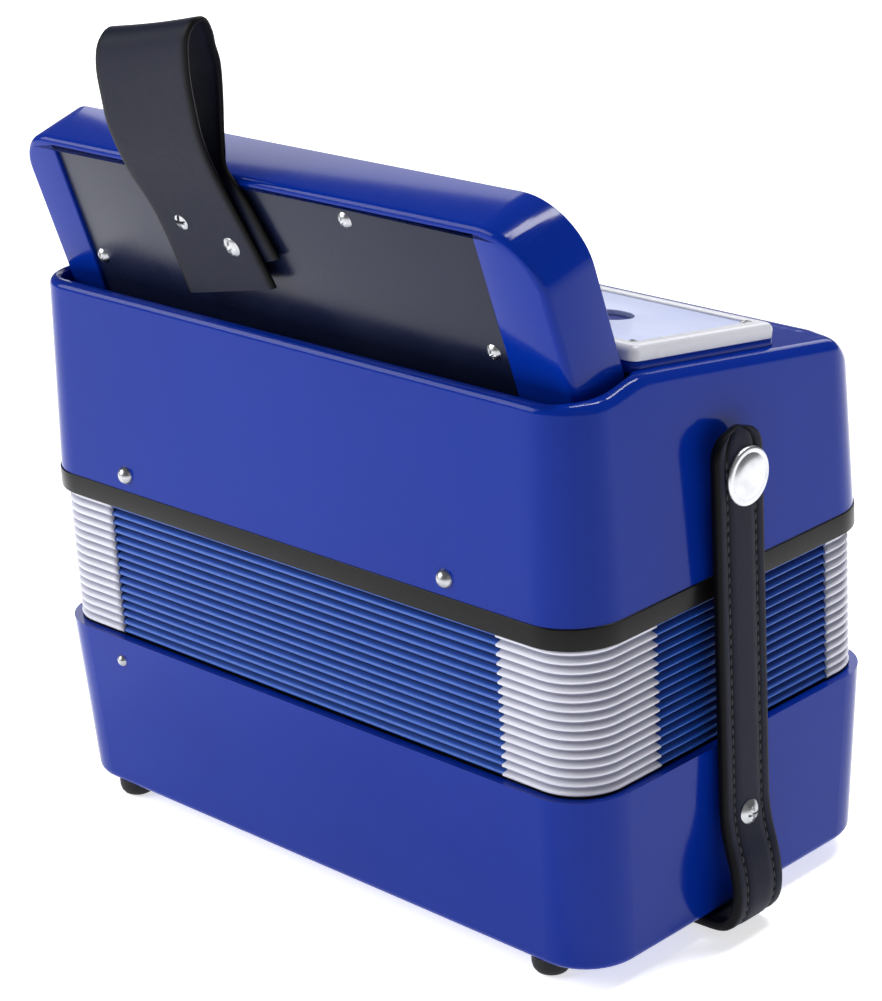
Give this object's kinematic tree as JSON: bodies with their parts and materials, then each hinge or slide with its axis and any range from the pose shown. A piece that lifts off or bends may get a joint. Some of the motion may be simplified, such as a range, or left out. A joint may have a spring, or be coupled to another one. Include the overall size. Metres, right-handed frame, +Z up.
{
  "type": "piano accordion",
  "caption": "Small piano accordion standing on its bass end, with a leaning keyboard, folded bellows, thumb strap, grille and bellows straps.",
  "frame": {"origin": "on the floor under the feet, at the middle of the outline seen from above", "axes": "+X along the keyboard from the chin end to the low end; -Y towards the player; +Z up from the bass end to the keyboard"},
  "size_m": [0.256, 0.1595, 0.2767],
  "materials": {
    "case_plastic": "glossy blue celluloid",
    "trim_plastic": "glossy dark strip",
    "neck_plastic": "glossy blue celluloid",
    "panel_plastic": "glossy dark blue",
    "pearl": "pale blue pearl",
    "frame_plastic": "pale grey",
    "cloth": "blue cloth",
    "screw_steel": "bright",
    "chrome_metal": "bright",
    "cap_plastic": "pale grey snap cap",
    "brass_metal": "satin",
    "strap_leather": "dark blue, stitched",
    "bellows_card": "blue cloth folds",
    "pine": "bare",
    "reed_metal": "satin",
    "axle_steel": "bright",
    "white_key": "glossy white",
    "black_key": "glossy black",
    "button_plastic": "glossy white",
    "foot_rubber": "black"
  },
  "bodies": {
    "bass": {"bass_case": "case_plastic", "bass_pins": "chrome_metal", "bellows_frame_bass": "pine", "bellows": "bellows_card", "bass_soundboard": "pine", "bass_reed_block": "pine", "bass_reed_plates": "reed_metal", "hand_strap": "strap_leather", "strap_screws": "screw_steel", "feet": "foot_rubber"},
    "treble": {"treble_case": "case_plastic", "treble_trim": "trim_plastic", "neck": "neck_plastic", "neck_back_plate": "panel_plastic", "panel_screws": "screw_steel", "thumb_strap": "strap_leather", "thumb_strap_screws": "screw_steel", "grille_frame": "frame_plastic", "grille_plate": "pearl", "grille_cloth": "cloth", "treble_soundboard": "pine", "key_axle": "axle_steel", "treble_reed_blocks": "pine", "treble_reed_plates": "reed_metal", "bellows_frame_treble": "pine", "treble_pins": "chrome_metal", "strap_studs": "brass_metal"},
    "strap_right": {"bellows_strap_right": "strap_leather", "snap_cap_right": "cap_plastic"},
    "strap_left": {"bellows_strap_left": "strap_leather", "snap_cap_left": "cap_plastic"},
    "key_01_white": {"key_01_white": "white_key"},
    "key_03_white": {"key_03_white": "white_key"},
    "key_05_white": {"key_05_white": "white_key"},
    "key_07_white": {"key_07_white": "white_key"},
    "key_08_white": {"key_08_white": "white_key"},
    "key_10_white": {"key_10_white": "white_key"},
    "key_12_white": {"key_12_white": "white_key"},
    "key_13_white": {"key_13_white": "white_key"},
    "key_15_white": {"key_15_white": "white_key"},
    "key_17_white": {"key_17_white": "white_key"},
    "key_02_black": {"key_02_black": "black_key"},
    "key_04_black": {"key_04_black": "black_key"},
    "key_06_black": {"key_06_black": "black_key"},
    "key_09_black": {"key_09_black": "black_key"},
    "key_11_black": {"key_11_black": "black_key"},
    "key_14_black": {"key_14_black": "black_key"},
    "key_16_black": {"key_16_black": "black_key"},
    "bass_button_1": {"bass_button_1": "button_plastic"},
    "bass_button_2": {"bass_button_2": "button_plastic"},
    "bass_button_3": {"bass_button_3": "button_plastic"},
    "bass_button_4": {"bass_button_4": "button_plastic"},
    "bass_button_5": {"bass_button_5": "button_plastic"},
    "bass_button_6": {"bass_button_6": "button_plastic"},
    "bass_button_7": {"bass_button_7": "button_plastic"},
    "bass_button_8": {"bass_button_8": "button_plastic"},
    "air_button": {"air_button": "button_plastic"}
  },
  "joints": [
    {"name": "bellows_open", "type": "slide", "parent": "bass", "child": "treble", "axis": [0, 0, 1], "range_m": [0, 0.16], "deforming": ["bellows"]},
    {"name": "press_key_01_white", "type": "hinge", "parent": "treble", "child": "key_01_white", "pos_m": [0, -0.0175, 0.167], "axis": [1, 0, 0], "range_deg": [0, 4], "stiffness_Nm_per_rad": 0.3, "springref_deg": -5.73},
    {"name": "press_key_03_white", "type": "hinge", "parent": "treble", "child": "key_03_white", "pos_m": [0, -0.0175, 0.167], "axis": [1, 0, 0], "range_deg": [0, 4], "stiffness_Nm_per_rad": 0.3, "springref_deg": -5.73},
    {"name": "press_key_05_white", "type": "hinge", "parent": "treble", "child": "key_05_white", "pos_m": [0, -0.0175, 0.167], "axis": [1, 0, 0], "range_deg": [0, 4], "stiffness_Nm_per_rad": 0.3, "springref_deg": -5.73},
    {"name": "press_key_07_white", "type": "hinge", "parent": "treble", "child": "key_07_white", "pos_m": [0, -0.0175, 0.167], "axis": [1, 0, 0], "range_deg": [0, 4], "stiffness_Nm_per_rad": 0.3, "springref_deg": -5.73},
    {"name": "press_key_08_white", "type": "hinge", "parent": "treble", "child": "key_08_white", "pos_m": [0, -0.0175, 0.167], "axis": [1, 0, 0], "range_deg": [0, 4], "stiffness_Nm_per_rad": 0.3, "springref_deg": -5.73},
    {"name": "press_key_10_white", "type": "hinge", "parent": "treble", "child": "key_10_white", "pos_m": [0, -0.0175, 0.167], "axis": [1, 0, 0], "range_deg": [0, 4], "stiffness_Nm_per_rad": 0.3, "springref_deg": -5.73},
    {"name": "press_key_12_white", "type": "hinge", "parent": "treble", "child": "key_12_white", "pos_m": [0, -0.0175, 0.167], "axis": [1, 0, 0], "range_deg": [0, 4], "stiffness_Nm_per_rad": 0.3, "springref_deg": -5.73},
    {"name": "press_key_13_white", "type": "hinge", "parent": "treble", "child": "key_13_white", "pos_m": [0, -0.0175, 0.167], "axis": [1, 0, 0], "range_deg": [0, 4], "stiffness_Nm_per_rad": 0.3, "springref_deg": -5.73},
    {"name": "press_key_15_white", "type": "hinge", "parent": "treble", "child": "key_15_white", "pos_m": [0, -0.0175, 0.167], "axis": [1, 0, 0], "range_deg": [0, 4], "stiffness_Nm_per_rad": 0.3, "springref_deg": -5.73},
    {"name": "press_key_17_white", "type": "hinge", "parent": "treble", "child": "key_17_white", "pos_m": [0, -0.0175, 0.167], "axis": [1, 0, 0], "range_deg": [0, 4], "stiffness_Nm_per_rad": 0.3, "springref_deg": -5.73},
    {"name": "press_key_02_black", "type": "hinge", "parent": "treble", "child": "key_02_black", "pos_m": [0, -0.0175, 0.167], "axis": [1, 0, 0], "range_deg": [0, 4], "stiffness_Nm_per_rad": 0.3, "springref_deg": -5.73},
    {"name": "press_key_04_black", "type": "hinge", "parent": "treble", "child": "key_04_black", "pos_m": [0, -0.0175, 0.167], "axis": [1, 0, 0], "range_deg": [0, 4], "stiffness_Nm_per_rad": 0.3, "springref_deg": -5.73},
    {"name": "press_key_06_black", "type": "hinge", "parent": "treble", "child": "key_06_black", "pos_m": [0, -0.0175, 0.167], "axis": [1, 0, 0], "range_deg": [0, 4], "stiffness_Nm_per_rad": 0.3, "springref_deg": -5.73},
    {"name": "press_key_09_black", "type": "hinge", "parent": "treble", "child": "key_09_black", "pos_m": [0, -0.0175, 0.167], "axis": [1, 0, 0], "range_deg": [0, 4], "stiffness_Nm_per_rad": 0.3, "springref_deg": -5.73},
    {"name": "press_key_11_black", "type": "hinge", "parent": "treble", "child": "key_11_black", "pos_m": [0, -0.0175, 0.167], "axis": [1, 0, 0], "range_deg": [0, 4], "stiffness_Nm_per_rad": 0.3, "springref_deg": -5.73},
    {"name": "press_key_14_black", "type": "hinge", "parent": "treble", "child": "key_14_black", "pos_m": [0, -0.0175, 0.167], "axis": [1, 0, 0], "range_deg": [0, 4], "stiffness_Nm_per_rad": 0.3, "springref_deg": -5.73},
    {"name": "press_key_16_black", "type": "hinge", "parent": "treble", "child": "key_16_black", "pos_m": [0, -0.0175, 0.167], "axis": [1, 0, 0], "range_deg": [0, 4], "stiffness_Nm_per_rad": 0.3, "springref_deg": -5.73},
    {"name": "press_bass_button_1", "type": "slide", "parent": "bass", "child": "bass_button_1", "axis": [0, 0, 1], "range_m": [0, 0.0035], "stiffness_N_per_m": 250, "springref_m": -0.004},
    {"name": "press_bass_button_2", "type": "slide", "parent": "bass", "child": "bass_button_2", "axis": [0, 0, 1], "range_m": [0, 0.0035], "stiffness_N_per_m": 250, "springref_m": -0.004},
    {"name": "press_bass_button_3", "type": "slide", "parent": "bass", "child": "bass_button_3", "axis": [0, 0, 1], "range_m": [0, 0.0035], "stiffness_N_per_m": 250, "springref_m": -0.004},
    {"name": "press_bass_button_4", "type": "slide", "parent": "bass", "child": "bass_button_4", "axis": [0, 0, 1], "range_m": [0, 0.0035], "stiffness_N_per_m": 250, "springref_m": -0.004},
    {"name": "press_bass_button_5", "type": "slide", "parent": "bass", "child": "bass_button_5", "axis": [0, 0, 1], "range_m": [0, 0.0035], "stiffness_N_per_m": 250, "springref_m": -0.004},
    {"name": "press_bass_button_6", "type": "slide", "parent": "bass", "child": "bass_button_6", "axis": [0, 0, 1], "range_m": [0, 0.0035], "stiffness_N_per_m": 250, "springref_m": -0.004},
    {"name": "press_bass_button_7", "type": "slide", "parent": "bass", "child": "bass_button_7", "axis": [0, 0, 1], "range_m": [0, 0.0035], "stiffness_N_per_m": 250, "springref_m": -0.004},
    {"name": "press_bass_button_8", "type": "slide", "parent": "bass", "child": "bass_button_8", "axis": [0, 0, 1], "range_m": [0, 0.0035], "stiffness_N_per_m": 250, "springref_m": -0.004},
    {"name": "press_air_button", "type": "slide", "parent": "bass", "child": "air_button", "axis": [0, 0, 1], "range_m": [0, 0.0035], "stiffness_N_per_m": 250, "springref_m": -0.004},
    {"name": "strap_swing_right", "type": "hinge", "parent": "bass", "child": "strap_right", "pos_m": [0.12185, 0.0068, 0.0452], "axis": [0, 1, 0], "range_deg": [0, 90]},
    {"name": "strap_swing_left", "type": "hinge", "parent": "bass", "child": "strap_left", "pos_m": [-0.12185, 0.0068, 0.0452], "axis": [0, -1, 0], "range_deg": [0, 90]}
  ],
  "couplings": [
    {"joint": "strap_swing_right", "follows": "bellows_open", "rad_per_m": 9.8},
    {"joint": "strap_swing_left", "follows": "bellows_open", "rad_per_m": 9.8}
  ]
}
